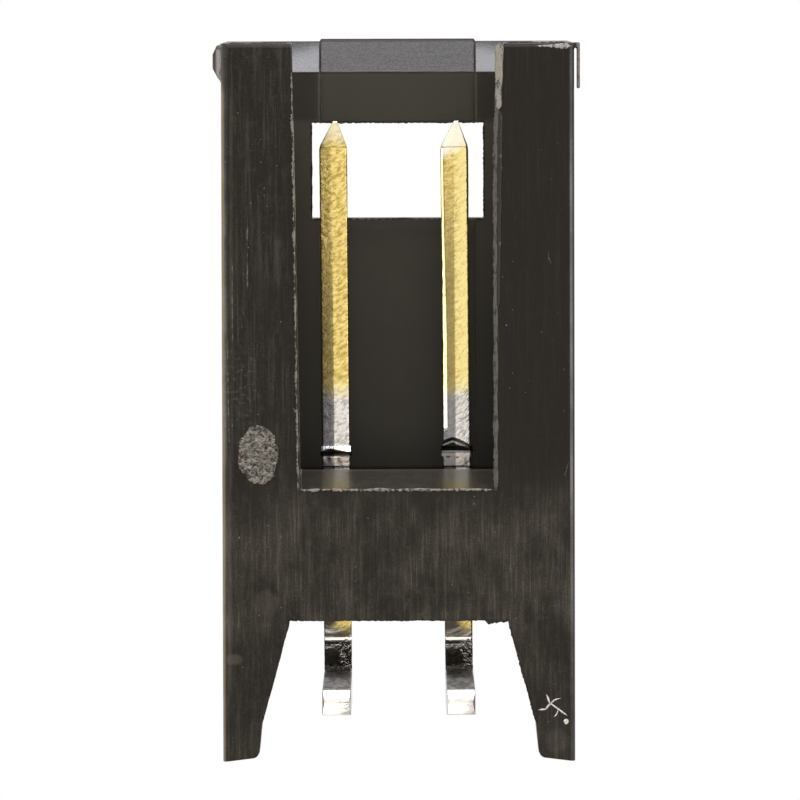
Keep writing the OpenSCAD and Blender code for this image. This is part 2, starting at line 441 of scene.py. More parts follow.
def plastic_zones(x, y, z):
    """Where the housing's stretches are, in millimetres. Each mask is full on its stretch and
    fades out at its borders."""
    wide = abs(x)
    board_face = z.between(0.1, 0.02)
    near_board = z.between(0.14, 0.11)
    on_base = y.between(-4.8, -3.4)
    behind_mouth = y.between(-12.9, -12.84)
    before_window = y.between(-11.7, -11.9)
    worked = (0.65 * x.between(-2.0, -2.4)).most(on_base).most(0.15) * board_face
    seam = abs(x + 3.44 + 0.06 * y.between(-5.5, -4.0)).between(0.07, 0.0) * board_face
    chafed = x.between(-2.85, -3.0) * y.between(-7.5, -6.8) * y.between(-5.3, -5.9)
    lead_in = y.between(-12.8, -12.86) * y.between(-13.489, -13.48) * wide.between(2.95, 2.9)
    lead_in = lead_in * z.between(4.5, 4.6) * z.between(5.3, 5.27)
    ramp = y.between(-4.7, -4.65) * y.between(-4.15, -4.22) * wide.between(2.08, 2.05)
    lit_cavity = y.between(-4.4, -4.5) * behind_mouth * wide.between(2.68, 2.63)
    lit_cavity = lit_cavity * z.between(0.9, 1.1) * z.between(4.9, 4.85)
    # How much lighter the cavity walls are painted, as painted light that changes from place to
    # place
    lit = 0.75 + 0.25 * before_window + wide.between(1.5, 1.8) * (0.2 - 0.8 * before_window)
    step = abs(wide - 1.65).between(0.04, 0.02) * before_window * behind_mouth
    long_edge = (x.between(3.535, 3.56) * x.between(3.62, 3.6)).most(x.between(-3.5, -3.55))
    # Band of the -X flash leaf next to the body, where a highlight is painted
    leaf_highlight = x.between(-3.63, -3.66) * x.between(-3.78, -3.71) * y.between(-12.6, -12.8)
    return SimpleNamespace(
        board_face=board_face,
        base=board_face * on_base * (1 - 0.6 * y.between(-1.5, -0.9)),
        worked=worked * (1 - 0.3 * y.between(-1.6, -1.1)),
        seam=seam * y.between(0.2, -0.5) * y.between(-13, -12),
        specked=board_face * x.between(3.4, 1.8).most(0.35),
        chafed=chafed * board_face,
        lead_in=lead_in,
        channel=lead_in * wide.between(1.66, 1.62),
        ramp=ramp * z.between(1.2, 1.16) * z.between(0.0, 0.03),
        lit_cavity=lit_cavity * lit,
        step=step * z.between(4.5, 4.6) * z.between(5.0, 4.9),
        long_edge=long_edge * z.between(0.2, 0.15),
        mouth_edge=y.between(-13.38, -13.43) * board_face,
        # Band along the -X edge where a warm rim light is painted
        warm_rim_light=x.between(-3.585, -3.605) * z.between(0.12, 0.08) * y.between(-12.8, -12.3),
        leaf_highlight=leaf_highlight * near_board,
        hook=x.between(3.68, 3.71) * y.between(-12.3, -12.5) * near_board,
    )


def rubbed_share(x, y, grain, zones):
    """How rubbed the plastic is: lines, grit and smudges where it is worked, scuffs, a haze on
    the base, a seam by the -X edge, and a faint haze off the face that lies on the board."""
    lines = 0.6 * grain.streak.between(0.45, 0.8) + 0.5 * grain.thread.between(0.5, 0.8)
    lines = lines + 0.3 * grain.dash.between(0.55, 0.75) + 0.3 * grain.grit.between(0.5, 0.75)
    lines = lines * (0.5 + 0.9 * grain.cloud.between(0.35, 0.65))
    rubbed = zones.worked * (lines + 0.2 * grain.smudge.between(0.5, 0.7))
    rubbed = rubbed + zones.board_face * scuff_mask(x, y)
    rubbed = rubbed + 0.32 * zones.base * grain.cloud.between(0.3, 0.7)
    rubbed = rubbed + 0.8 * zones.seam * grain.streak * (0.3 + grain.thread)
    haze = 0.2 * grain.cloud.between(0.35, 0.75) * (0.4 + grain.streak)
    return rubbed + (1 - zones.board_face) * haze


def plastic_finish(settings):
    """Brown-black moulded plastic, rubbed along the pull of the tool, most of all on the base and
    the -X wall, with clouds and specks. A hard skin, given as a coat, shines on the ramp, the
    lead-in, the mouth and the long outer edges. Painted light: the walls inside the cavity are
    painted lighter, a warm rim is painted along the -X edge, a highlight is painted on the -X
    flash leaf by the body, and light is painted showing through the thin +X hook."""
    material, place = new_finish("moulded_plastic")
    x, y, z = place.axes()
    grain = plastic_grain(place)
    zones = plastic_zones(x, y, z)
    rubbed = opaque(settings.rubbed)
    chafed = opaque(settings.chafed)
    speck = 0.8 * zones.specked * grain.speck.between(0.855, 0.87)
    chafe = 0.12 * zones.chafed * grain.chafe.between(0.54, 0.7)
    tone = layered(opaque(settings.plastic), (
        (rubbed_share(x, y, grain, zones), rubbed),
        (0.25 * zones.channel * grain.grit.between(0.3, 0.7), chafed),
        (0.3 * zones.ramp * grain.smudge, chafed),
        # The cavity walls take the rubbed colour as painted light
        (zones.lit_cavity * (0.8 + 0.4 * grain.cloud), rubbed),
        (0.28 * zones.step, chafed),
        (speck.most(chafe), chafed),
        # Painted warm rim light along the -X edge
        (0.5 * zones.warm_rim_light, TINT.warm_rim_light),
        # Painted highlight on the -X flash leaf next to the body
        (0.8 * zones.leaf_highlight * grain.smudge.between(0.25, 0.55), TINT.leaf_highlight_tint),
        # Painted light showing through the thin +X hook of flash
        (zones.hook * grain.smudge.between(0.25, 0.65), TINT.hook_light_through),
    ))
    rough = settings.roughness + 0.12 * (grain.cloud - 0.5)
    rough = rough + 0.15 * zones.worked * (grain.smudge - 0.5)
    rough = rough - 0.2 * zones.ramp + 0.2 * zones.channel
    shiny_edge = zones.long_edge * (0.5 + 0.7 * grain.cloud.between(0.35, 0.65))
    coat = shiny_edge.most(zones.mouth_edge).most(zones.ramp)
    coat = coat.most(zones.lead_in - 0.7 * zones.channel)
    height = (0.08 + 0.9 * zones.worked) * (0.5 * grain.streak + 0.3 * grain.thread)
    height = height + 0.15 * zones.worked * grain.grit + 9 * zones.lead_in * grain.brushed
    close_finish(place, {
        "Base Color": tone, "Roughness": rough, "Normal": height.relief(0.006 * MM),
        "Coat Weight": coat, "Coat Roughness": 0.2, "Specular IOR Level": 0.24,
    })
    return material


def torn_finish(name, plastic, torn, pale):
    """Torn plastic: the moulding's own colour, whitened in ragged patches; pale sets how much."""
    material, place = new_finish(name)
    patch = place.noise((12, 5, 12), 3)
    grit = place.noise((50, 40, 50), 2)
    white = (patch + 0.5 * (grit - 0.5)).between(0.75 - 0.45 * pale, 0.9 - 0.35 * pale)
    tone = (0.95 * white).tint(opaque(plastic), opaque(torn))
    height = 0.6 * patch + 0.4 * grit
    close_finish(place, {
        "Base Color": tone, "Roughness": 0.45 + 0.25 * grit, "Normal": height.relief(0.012 * MM),
    })
    return material


def crumbled_finish(name, settings, plastic):
    """Surface of the broken gate: pale plastic crumbled into fine twisted ridges."""
    material, place = new_finish(name)
    worms = place.noise((7, 9, 7), 2, 0.5, 2.2)
    grit = place.noise((35, 35, 35), 1)
    white = (worms + 0.2 * (grit - 0.5)).between(0.28, 0.8)
    tone = white.tint(opaque(plastic), opaque(settings.whitened))
    close_finish(place, {
        "Base Color": tone, "Roughness": 0.42 + 0.25 * grit, "Normal": worms.relief(0.05 * MM),
    })
    return material


def plating_grain(place, bowed):
    """Noise in the plating: chatter and lines in shallow bows, pits, clouds and long blotches."""
    return SimpleNamespace(
        chatter=bowed.noise((8.5, 13, 8.5), 3, 0.65, 0.3),
        line=bowed.noise((1.1, 11, 1.1), 1, 0.5),
        pits=place.noise((13, 13, 13), 1),
        cloud=place.noise((2.2, 2.2, 2.2), 2),
        blotch=place.noise((7, 7, 1.3), 2),
    )


def plating_zones(y, z, beside, grain, settings, face):
    """Where a pin's stretches are, in millimetres, with beside the distance from its middle to
    +X. Each mask is full on its stretch and fades out at its borders."""
    jagged = 0.3 * (grain.chatter - 0.5)
    gold_edge = y - settings.gold_end / MM + 0.35 * (grain.cloud - 0.5) + jagged
    tinned = gold_edge.between(-0.15, 0.2)
    tip = y + face.tip_slant * beside + jagged
    on_front = z.between(2.75, 2.65) * y.between(-1.8, -2.0)
    bevel_edge = beside + 0.02 + 0.038 * y.between(-7.0, -10.2)
    bevel = on_front * bevel_edge.between(-0.165, -0.18)
    bevel = face.shine * bevel * y.between(face.bevel_end, face.bevel_end - 0.04)
    face_half = 0.29
    ridge = face_half * face.ridge
    # The -X side of the pin's front, where shade is painted
    dark_side = on_front * beside.between(ridge + 0.02, ridge - 0.02) * y.between(*face.darkens)
    # The +X side of the pin's front gets a painted highlight
    light = face.pale * on_front
    notch_from, notch_to = face.struck
    # Band of the struck notch where black shade is painted
    struck = y.between(notch_from, notch_from + 0.02) * y.between(notch_to, notch_to - 0.02)
    behind = y.between(-1.8, -1.65) * y.between(-1.0, -1.02) * z.between(2.7, 2.65)
    kept = (beside + 0.6 * grain.cloud + 0.4 * grain.chatter).between(0.4, 0.65)
    off_y = y + 0.945  # from the middle of the bend
    off_z = z - 1.955
    outer_bend = (off_y * off_y + off_z * off_z).between(0.7, 1.1)
    outer_bend = outer_bend * off_y.between(-0.05, 0.05) * off_z.between(-0.15, 0.0)
    bend = y.between(-0.95, -0.85) * z.between(1.8, 1.95) * beside.between(-0.02, 0.18)
    far_side = abs(beside).between(0.268, 0.284).most(y.between(0.0, 0.2)).most(outer_bend)
    return SimpleNamespace(
        tinned=tinned,
        paling=gold_edge.between(-0.3, 0.0),
        tip=tip.between(face.tip_from, face.tip_from - 0.32),
        point=y.between(-10.95, -11.2),
        bevel=bevel,
        dark_side=dark_side * (1 - bevel),
        light_side=light * beside.between(ridge, ridge + 0.04),
        glow=light * beside.between(ridge, 0.2) * (1 - tinned),
        struck=struck * z.between(2.95, 2.9),
        block=on_front * y.between(-4.88, -4.86) * y.between(-4.56, -4.6),
        behind=behind,
        kept=behind * kept * y.between(-1.02, -1.3),
        crease=y.between(-1.0, -0.98) * y.between(-0.87, -0.89),
        bend=bend * (1 - outer_bend),
        straight=y.between(-0.5, -0.4) * y.between(-0.27, -0.3) * z.between(2.1, 1.9),
        cut_end=z.between(-2.2, -2.5),
        far_side=far_side,
    )


def plating_tone(grain, zones, settings, face):
    """Worn gold with painted highlights on its +X side and point and painted shade on its -X side,
    dulled tin behind it with painted shade on its -X side and painted highlights on the crease and
    the cut end, the gold that is kept behind the base, and the painted black shade of the struck
    notch."""
    unbevelled = 1 - zones.bevel
    worn = grain.chatter.between(0.36, 0.68) * (1 - 0.5 * zones.dark_side)
    # Wear is left off where the +X side has its painted highlight
    worn = (worn + 0.2 * grain.line.between(0.5, 0.7)) * (1 - zones.glow)
    gold = (worn * unbevelled).tint(opaque(settings.gold), TINT.worn_gold)
    shaded = layered(gold, (
        # Painted highlight on the +X side
        (zones.light_side * (1 - 0.6 * worn), TINT.lit_gold),
        (0.6 * zones.paling, TINT.pale_gold),
        (zones.bevel, TINT.bevel_gold),
        # Painted highlight on the point
        (face.tip * zones.tip, TINT.tip_highlight_gold),
        # Painted shade on the -X side of the gold
        (face.dark * zones.dark_side, TINT.painted_shade_gold),
    ))
    dull = grain.chatter.between(0.4, 0.64) * grain.line.between(0.22, 0.52) * unbevelled
    tin = layered(opaque(settings.tin), (
        (0.85 * dull, TINT.dull_tin),
        (zones.behind * grain.line.between(0.18, 0.52), TINT.brown_tin),
        (0.5 * zones.block, TINT.warm_tin),
        (0.55 * zones.straight * grain.blotch.between(0.42, 0.6), TINT.blotched_tin),
        # Painted highlight: the crease where the bend starts is painted white, and the cut end of
        # the tail partly so
        (zones.cut_end.most(zones.crease), TINT.highlight_tin),
        (0.45 * zones.cut_end * grain.cloud.between(0.45, 0.6), TINT.cut_tin),
        (0.7 * zones.far_side * (0.7 + 0.6 * grain.cloud), TINT.far_tin),
        # Painted shade on the -X side of the tin
        (face.slate * zones.dark_side, TINT.painted_shade_tin),
    ))
    return layered(shaded, (
        (zones.tinned, tin),
        (zones.kept, gold),
        # Painted black shade in the struck notch
        (0.9 * zones.struck, TINT.struck),
    ))


def plating_finish(name, settings, x_mid, face):
    """Gold on the mating end and tin behind it. The grain runs across the wire in shallow bows,
    because it is noise over y plus the square of the distance from the pin's middle. face says
    how the side that faces the board is worn, and where light and shade are painted on it."""
    material, place = new_finish(name)
    x, y, z = place.axes()
    beside = x - (x_mid + settings.shift) / MM - settings.lean * y
    bow = y + 0.9 * beside * beside + face.slant * beside
    bowed = place.node("ShaderNodeCombineXYZ", None, {0: x, 1: bow, 2: z})
    grain = plating_grain(place, bowed)
    zones = plating_zones(y, z, beside, grain, settings, face)
    smooth = zones.crease.most(zones.bevel)
    rough = settings.roughness + 0.1 * (grain.pits - 0.4) - 0.12 * smooth
    rough = rough + 0.3 * zones.straight.most(0.4 * zones.block)
    calm = smooth.most(zones.point).most(0.35 * zones.dark_side).most(0.75 * zones.glow)
    height = (0.8 * grain.chatter + 0.2 * grain.line) * (1 - calm)
    height = height + (0.05 + 0.8 * zones.straight) * grain.pits
    height = height + 5 * zones.bend * grain.pits.between(0.45, 0.75)
    height = height * (1 - 0.75 * zones.far_side)
    close_finish(place, {
        "Base Color": plating_tone(grain, zones, settings, face), "Metallic": 1.0,
        "Roughness": rough, "Normal": height.relief(0.011 * MM),
    })
    return material


def scaled(*values):
    """Millimetres as metres."""
    return [value * MM for value in values]


def flip(point):
    """The same point on the other side of the middle plane."""
    return (-point[0], *point[1:])


def rise(value, low, high):
    """Smooth step from 0 at low to 1 at high."""
    t = np.clip((value - low) / (high - low), 0, 1)
    return t * t * (3 - 2 * t)


def at_least(lowest, part):
    """Goes up evenly from lowest, where part is 0, to 1, where part is 1."""
    return lowest + (1 - lowest) * part


def eased(part, soft):
    """Goes up evenly from 0 with part, and rounds off to 1 between 1 - soft and 1 + soft."""
    return np.minimum(part, 1 + soft) - np.clip(part - 1 + soft, 0, 2 * soft) ** 2 / (4 * soft)


def ripple(seed, shortest, longest, *axes):
    """A seeded sum of sine waves over one or more coordinates, mostly between -1 and 1.
    Each wave has a random direction, phase and length between shortest and longest."""
    rng = np.random.default_rng(seed)
    count = 28
    turns = rng.normal(size=(count, len(axes)))
    turns /= np.linalg.norm(turns, axis=1, keepdims=True)
    waves = 2 * np.pi * turns / rng.uniform(shortest, longest, (count, 1))
    phase = rng.uniform(0, 2 * np.pi, count)
    place = np.stack(np.broadcast_arrays(*axes), -1)
    return np.sin(place @ waves.T + phase).sum(-1) / math.sqrt(count)


def new_piece(name, rings, finish):
    """A closed piece from rings of points, rows by columns by 3: each ring joins the next with
    quads, a ring's last point joins its first, and the two end rings become flat caps."""
    rows, columns = rings.shape[:2]
    first = np.arange(rows * columns).reshape(rows, columns)
    after = np.roll(first, -1, axis=1)
    quads = np.stack([first[:-1], first[1:], after[1:], after[:-1]], -1).reshape(-1, 4)
    caps = [first[0].tolist(), first[-1][::-1].tolist()]
    mesh = bpy.data.meshes.new(name)
    mesh.from_pydata(rings.reshape(-1, 3).tolist(), [], quads.tolist() + caps)
    smooth = np.ones(len(mesh.polygons), bool)
    smooth[-2:] = False
    mesh.polygons.foreach_set("use_smooth", smooth)
    mesh.materials.append(finish)
    mesh.update()
    piece = bpy.data.objects.new(name, mesh)
    bpy.context.scene.collection.objects.link(piece)
    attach(piece, BODY)
    return piece


def square_section(points, power):
    """Unit rounded square as two arrays, anticlockwise: points go round the four sides of a
    square, closer together near its corners, and each is pulled in to where the power-mean
    of its two coordinates is 1."""
    side = np.sin(np.linspace(-np.pi / 2, np.pi / 2, points, endpoint=False))
    one = np.ones(points)
    across = np.concatenate([one, -side, -one, side])
    out = np.concatenate([side, one, -side, -one])
    reach = (np.abs(across) ** power + np.abs(out) ** power) ** (-1 / power)
    return reach * across, reach * out


def wire_stations(total, coin, bend):
    """Distances along a pin of the given length: close together at both ends, round coin, where
    it is struck, and where it starts to bend."""
    stops = scaled(0, 0.9) + [coin - 0.35 * MM, coin + 0.6 * MM, bend - 0.1 * MM, bend + 0.25 * MM]
    stops = stops + [total - 0.3 * MM, total]
    counts = (60, 220, 150, 60, 80, 120, 30)
    runs = [
        np.linspace(start, stop, count, endpoint=False)
        for start, stop, count in zip(stops, stops[1:], counts)
    ]
    return np.concatenate([*runs, [total]])[:, None]


def front_fall(y, across, half, face):
    """How far the side of a pin that faces the board falls away: gently to both sides of a
    ridge, and more past a bevel on the -X side, which widens on the point, and past the edge on
    the +X side."""
    on_point = rise(y, -11.27 * MM, -11.3 * MM)
    widened = 0.6 * np.clip((-11.02 * MM - y) / (0.6 * MM), 0, 1)
    bevel = -0.8 + 0.13 * rise(y, -10.2 * MM, -7.0 * MM) + on_point * widened
    bevel_end = face.bevel_end * MM
    on_bevel = rise(y, bevel_end + 0.05 * MM, bevel_end)
    grown = at_least(face.grown, rise(y, -10.6 * MM, -8.8 * MM))
    left = face.left * np.clip(face.ridge - across, 0, None) * grown
    right = face.right * np.clip(across - face.ridge, 0, None)
    slope = face.bevel * on_bevel * (1 - on_point) + face.wedge * on_point
    steep = slope * np.clip(bevel - across, 0, None)
    edge = 0.5 * np.clip(across - face.edge, 0, None)
    return half * (left + right + steep + edge)


def bend_crease(beyond, across, half):
    """Line pressed in where a pin starts to bend, deeper to the +X side; beyond is the distance
    past the start of the bend."""
    line = np.interp(beyond, scaled(-0.055, -0.04, 0.025, 0.15), scaled(0, 0.02, 0.02, 0))
    tilt = np.interp(beyond, scaled(-0.065, -0.05, 0.04, 0.06), (0, 1, 1, 0))
    return line + 0.12 * half * tilt * (across + 1)


def wire_path(low, high, settings):
    """Middle line of a pin: a straight along Y, a quarter bend, and a straight down. It holds, at
    each station, the distance along, past the start of the bend and to the end, and the angle
    turned through."""
    half = high.y
    axis_z = high.z - half
    radius = settings.bend_radius + half
    straight = -radius - low.y
    arc = radius * math.pi / 2
    total = straight + arc + axis_z - radius - low.z
    along = wire_stations(total, settings.coin_start - low.y, straight)
    turn = np.clip((along - straight) / radius, 0, math.pi / 2)
    drop = np.clip(along - straight - arc, 0, None)
    return SimpleNamespace(
        half=half,
        along=along,
        beyond=along - straight,
        to_end=total - along,
        turn=turn,
        y=low.y + np.minimum(along, straight) + radius * np.sin(turn),
        z=axis_z - radius * (1 - np.cos(turn)) - drop,
    )


def bent_wire(low, high, settings, face, notch):
    """Rounded square wire carried along a straight, a quarter bend and a second straight. The
    section narrows to a point at both ends and widens where it is struck. face says how the
    side that faces the board is worn, and notch gives, for each point, how deep it is struck
    in, from its place along Y and its share across. The wire fills its hole in the base."""
    path = wire_path(low, high, settings)
    along = path.along
    half = path.half
    y = path.y
    z = path.z
    x_mid = (low.x + high.x) / 2
    across, out = square_section(SIDE_POINTS, settings.corner_power)
    board_side = rise(-out, 0.55, 0.95)
    top_side = rise(out, 0.55, 0.95)
    on_run = rise(path.beyond, -0.05 * MM, -0.4 * MM)
    held = rise(y, -4.5 * MM, -4.45 * MM)
    held = held * rise(y, BASE_BACK_Y - 0.02 * MM, BASE_BACK_Y - 0.08 * MM)

    point = eased(along / settings.point_length, 0.15)
    tail = np.clip(path.to_end / settings.tail_point, 0, 1)
    point_taper = at_least(settings.point_flat / 2 / half, point)
    tail_taper = at_least(settings.tail_flat / 2 / half, tail)
    blunt = at_least(settings.point_blunt, eased(along / settings.point_length, 0.03))

    struck = rise(y, settings.coin_start - 0.03 * MM, settings.coin_start + 0.01 * MM)
    struck = struck * rise(y, settings.coin_end + 0.02 * MM, settings.coin_end) * on_run
    half_wide = half * settings.wide
    half_x = half_wide * point_taper * at_least(0.85, tail)
    half_x = half_x + (settings.coin_width - half_wide) * struck
    uneven = ripple(WIRE_EDGE_SEED, 0.15 * MM, 0.7 * MM, along, across * half)
    half_x = half_x - 0.004 * MM * np.abs(uneven)

    fall = front_fall(y, across, half, face) * on_run * point_taper * tail_taper
    worn = fall + notch(y, across) * on_run + bend_crease(path.beyond, across, half)
    chatter = ripple(WIRE_FACE_SEED, 0.12 * MM, 0.4 * MM, along, 0.3 * across * half)
    worn = worn + 0.0014 * MM * chatter * rise(along, 0.65 * MM, 1.1 * MM)
    thinned = 0.12 * MM * np.clip(-0.3 - z / (2 * MM), 0, 1)
    height = half * blunt * tail_taper * out + board_side * worn - top_side * thinned
    height = height + held * (half * out - height)

    x = x_mid + half_x * across + settings.shift + settings.lean * y
    x = x + settings.point_skew * (1 - point)
    x = x + held * (x_mid + half * across - x)
    set_back = 0.07 * MM * (1 - tail)
    slanted = 0.12 * half_x * (across + 1) * (1 - tail)
    y = y - set_back + height * np.sin(path.turn)
    z = z + slanted + height * np.cos(path.turn)
    return np.stack(np.broadcast_arrays(x, y, z), -1)


def tooth(y, start, stop, depth):
    """Depth that grows evenly from 0 at start to its full value at stop, and is 0 elsewhere."""
    part = (y - start) / (stop - start)
    return depth * part * (part > 0) * (part < 1)


def root_block(y, across):
    """Lumpy stretch between the struck notch and the floor, with a groove at the floor."""
    lumps = ripple(BLOCK_SEED, 0.1 * MM, 0.3 * MM, 0.6 * y, across * 0.3 * MM)
    lumps = lumps * rise(y, -4.8 * MM, -4.76 * MM) * rise(y, -4.59 * MM, -4.62 * MM)
    facing = 0.1 * np.clip(y + 4.88 * MM, 0, 0.28 * MM)
    return 0.006 * MM * lumps - facing + tooth(y, -4.6 * MM, -4.4 * MM, 0.17 * MM)


def arched_notch(y, across):
    """One struck barb: it rises from a straight line to an arch, falls into a notch behind it,
    and ends in a lumpy block."""
    foot = -5.02 * MM
    back = -4.785 * MM
    arch = MM * np.interp(across, (-1, -0.45, 0.3, 1), (-4.905, -4.965, -4.92, -4.885))
    peak = -0.6 * (arch - foot)
    up = -0.6 * (y - foot) * (y > foot) * (y < arch)
    part = (y - arch) / (back - arch)
    down = (peak + (0.07 * MM - peak) * part) * (part >= 0) * (part < 1)
    return up + down + root_block(y, across)


def slanted_notch(y, across):
    """Two struck notches, one behind the other, both bowed and lower on the +X side, and a
    lumpy block."""
    arch = MM * np.interp(across, (-1, -0.3, 1), (-5.116, -5.2, -5.03))
    bottom = -4.9 * MM
    crest = arch + 0.105 * MM
    depth = np.interp(y - arch, scaled(0, 0.07, 0.105), scaled(0, 0.06, 0.04))
    depth = depth + 0.09 * MM * np.clip((y - crest) / (bottom - crest), 0, 1)
    return depth * (y < bottom) + root_block(y, across)


def follow(corners, step):
    """Points every step along straight lines between corners, with the distance from the start."""
    corners = np.array(corners, float)
    reach = np.linalg.norm(np.diff(corners, axis=0), axis=1)
    stops = np.concatenate([[0], np.cumsum(reach)])
    along = np.linspace(0, stops[-1], max(8, round(stops[-1] / step)))
    path = np.stack([np.interp(along, stops, corners[:, i]) for i in range(3)], -1)
    return along, path


def ragged_bead(corners, widths, height, seed, ragged):
    """Oval section carried along a line of corners. Its half width follows the given widths,
    spread evenly from the start to the end, times a seeded ripple whose size is ragged. It
    wanders a little from side to side and thins out at both ends."""
    along, path = follow(corners, BEAD_STEP)
    outwards = np.array((0.0, 0.0, -1.0))
    ahead = np.gradient(path, axis=0)
    ahead /= np.linalg.norm(ahead, axis=1, keepdims=True)
    beside = np.cross(ahead, outwards)
    width = np.interp(along / along[-1], np.linspace(0, 1, len(widths)), widths)
    coarse = ripple(seed, 0.3 * MM, 1.6 * MM, along)
    fine = ripple(seed + 1, 0.06 * MM, 0.22 * MM, along)
    end = np.minimum(along, along[-1] - along)
    fade = at_least(0.15, rise(end, 0, 0.1 * MM))
    swell = np.clip(1 + ragged * (coarse + 0.8 * fine), 0.2, 2.2) * fade
    shift = ragged * width * (0.5 * ripple(seed + 2, 0.3 * MM, 1.2 * MM, along) + 0.4 * fine)
    angle = np.linspace(0, 2 * np.pi, BEAD_POINTS, endpoint=False)
    side = (width * swell)[:, None] * np.cos(angle) + shift[:, None]
    lift = height * np.sqrt(swell)[:, None] * np.sin(angle)
    return path[:, None] + side[..., None] * beside[:, None] + lift[..., None] * outwards


def torn_patch(middle, half_x, half_y, lift, seed):
    """Low rough mound on the face that lies on the board: rings shrink from the rim to the
    middle over the top, and from the rim to the middle underneath, with a ragged rim."""
    steep = np.linspace(0.02, np.pi - 0.02, PATCH_RINGS)[:, None]
    angle = np.linspace(0, 2 * np.pi, PATCH_POINTS, endpoint=False)
    rim = 1 + 0.05 * ripple(seed, 0.16, 1.6, np.cos(angle), np.sin(angle))
    x = half_x * rim * np.sin(steep) * np.cos(angle)
    y = half_y * rim * np.sin(steep) * np.sin(angle)
    rough = ripple(seed + 1, 0.07 * MM, 0.25 * MM, x, y)
    top = np.clip(np.cos(steep), 0, 1) ** 0.4
    crust = -lift * top * (0.8 + 0.5 * rough)
    z = np.where(steep < np.pi / 2, crust, 0.04 * MM * (1 - np.sin(steep)))
    rings = np.stack(np.broadcast_arrays(x, y, z), -1) + np.array(middle)
    return rings[:, ::-1]


def smooth_rounds(limit):
    """Node group that shades the housing smoothly over every edge that turns less than limit."""
    group = bpy.data.node_groups.new("smooth_rounds", "GeometryNodeTree")
    group.interface.new_socket("Geometry", in_out="INPUT", socket_type="NodeSocketGeometry")
    group.interface.new_socket("Geometry", in_out="OUTPUT", socket_type="NodeSocketGeometry")
    tree = Wire(group)
    solid = tree.node("NodeGroupInput")
    turn = tree.node("GeometryNodeInputMeshEdgeAngle")
    sharp = tree.node("FunctionNodeCompare", {"operation": "GREATER_THAN"}, {0: turn, 1: limit})
    smooth = tree.node("GeometryNodeSetShadeSmooth", None, {"Geometry": solid})
    parted = tree.node(
        "GeometryNodeSetShadeSmooth", {"domain": "EDGE"},
        {"Geometry": smooth, "Selection": sharp, "Shade Smooth": False},
    )
    tree.node("NodeGroupOutput", None, {"Geometry": parted})
    return group


class PINHEADER_OT_housing(bpy.types.Operator):
    """Round the housing's moulded edges and give it its worn plastic"""

    bl_idname = "pinheader.housing"
    bl_label = "Finish the housing"

    def execute(self, context):
        settings = context.scene.pinheader_housing
        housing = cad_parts["housing"]
        merge = housing.modifiers.new("merge_corners", "WELD")
        merge.merge_threshold = 0.001 * MM
        flatten = housing.modifiers.new("whole_faces", "DECIMATE")
        flatten.decimate_type = "DISSOLVE"
        flatten.angle_limit = math.radians(1)
        ease = housing.modifiers.new("moulded_edges", "BEVEL")
        ease.width = settings.edge_round
        ease.segments = 3
        ease.limit_method = "ANGLE"
        ease.angle_limit = math.radians(25)
        ease.use_clamp_overlap = False
        shade = housing.modifiers.new("smooth_rounds", "NODES")
        shade.node_group = smooth_rounds(math.radians(40))
        steady = housing.modifiers.new("flat_faces", "WEIGHTED_NORMAL")
        steady.mode = "FACE_AREA"
        steady.keep_sharp = True
        housing.data.materials.clear()
        housing.data.materials.append(plastic_finish(settings))
        return {"FINISHED"}


class PINHEADER_OT_pins(bpy.types.Operator):
    """Bend the two plated pins from square wire"""

    bl_idname = "pinheader.pins"
    bl_label = "Make the pins"

    def execute(self, context):
        settings = context.scene.pinheader_pins
        for node, notch in (("pin_left", arched_notch), ("pin_right", slanted_notch)):
            low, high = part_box(node)
            face = PIN_FACES[node]
            finish = plating_finish(f"{node}_plating", settings, (low.x + high.x) / 2, face)
            rings = bent_wire(low, high, settings, face, notch)
            piece = new_piece(f"{node}_wire", rings, finish)
            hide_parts(node)
        return {"FINISHED"}


def slot_edge(y, side, inset=0.0):
    """A point on the edge of the slot, moved in by inset: the slot draws in along its length."""
    part = (y - MOUTH_Y) / (FLOOR_Y - MOUTH_Y)
    half = SLOT_MOUTH_HALF + part * (SLOT_END_HALF - SLOT_MOUTH_HALF)
    return (side * (half - inset), y, 0.0)


def flash_finishes(settings, plastic):
    """Torn plastic of the flash: the pieces that show, and the dark ones along hidden edges."""
    greyed = settings.greyed
    return SimpleNamespace(
        grey=torn_finish("greyed_flash", plastic, greyed, 0.9),
        thin=torn_finish("thin_flash", plastic, dimmed(greyed, 0.75), 0.9),
        whole=torn_finish("whole_flash", plastic, greyed, 1.08),
        faint=torn_finish("faint_flash", plastic, dimmed(greyed, 0.3), 1.05),
        dark=torn_finish("dark_flash", plastic, greyed, 0.2),
    )


def slot_runs(finish):
    """Flash along both sides of the slot and its closed end. Each run is a name, corners, half
    widths, a finish and how ragged it is."""
    strip_y = MOUTH_Y + 1.4 * MM
    joint_y = strip_y - 0.3 * MM
    left = [slot_edge(MOUTH_Y + 0.6 * MM, -1, -0.01 * MM), slot_edge(FLOOR_Y, -1, -0.05 * MM)]
    strip = [slot_edge(MOUTH_Y, 1, 0.085 * MM), slot_edge(strip_y, 1, 0.09 * MM)]
    right = [(2.06 * MM, joint_y, 0), (2.016 * MM, strip_y + MM, 0), (2.012 * MM, FLOOR_Y, 0)]
    lip = [slot_edge(strip_y, 1, 0.06 * MM), slot_edge(-8 * MM, 1, 0.04 * MM)]
    closed = [slot_edge(FLOOR_Y, -1), slot_edge(FLOOR_Y, 1)]
    return [
        ("slot_flash_left", left, scaled(0.016, 0.017, 0.018, 0.019), finish.thin, 0.55),
        ("slot_flash_right_strip", strip, scaled(0.08, 0.08, 0.07), finish.whole, 0.07),
        ("slot_flash_right", right, scaled(0.06, 0.05, 0.046, 0.046, 0.05), finish.faint, 0.15),
        ("slot_lip_right", lip, scaled(0.07, 0.06, 0.05), finish.dark, 0.05),
        ("slot_flash_end", closed, scaled(0.02, 0.024, 0.028, 0.022, 0.02), finish.grey, 0.35),
    ]


